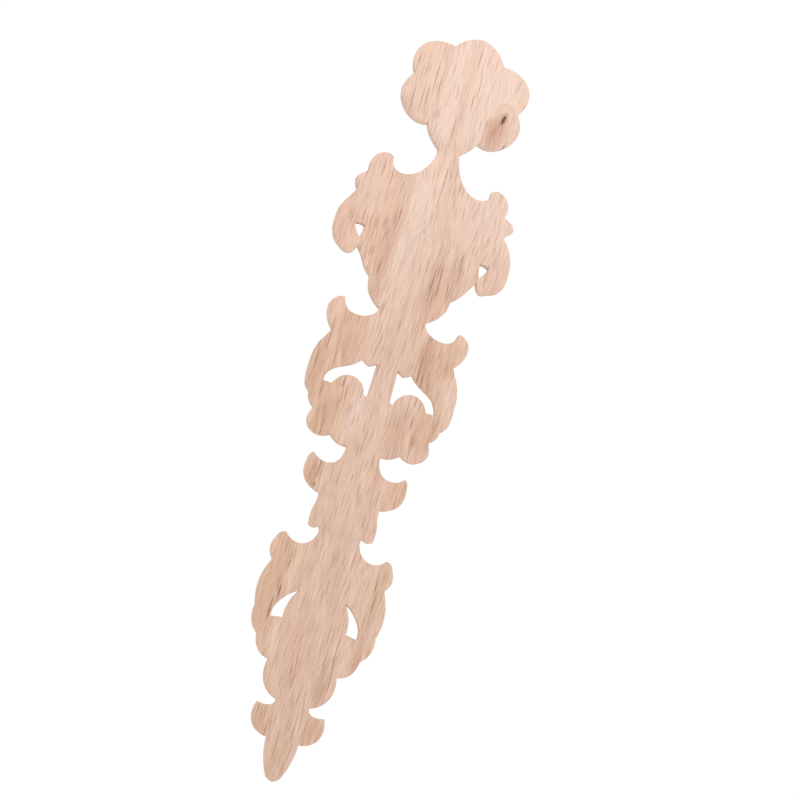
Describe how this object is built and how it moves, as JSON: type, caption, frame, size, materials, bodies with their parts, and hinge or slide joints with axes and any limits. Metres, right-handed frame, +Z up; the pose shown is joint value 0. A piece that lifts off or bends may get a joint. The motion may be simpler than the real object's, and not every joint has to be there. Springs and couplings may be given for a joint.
{
  "type": "carved wood applique",
  "caption": "Long carved wood applique, a drop with a flower, acanthus leaves, scrolls, husk and bud in relief, pierced, with a flat back for gluing to furniture or a wall.",
  "frame": {"origin": "on the flat back, on the centre line, half way up its length", "axes": "+Z up the drop with the flower at the top; +Y out of the flat back, so the carved front faces -Y; +X to the right seen from the carved front"},
  "size_m": [0.1441, 0.0199, 0.5968],
  "materials": {
    "wood": "raw sanded rubberwood, pinkish beige with fine dark pores along its length, matte"
  },
  "bodies": {
    "root": {"carved_applique": "wood"}
  },
  "joints": []
}
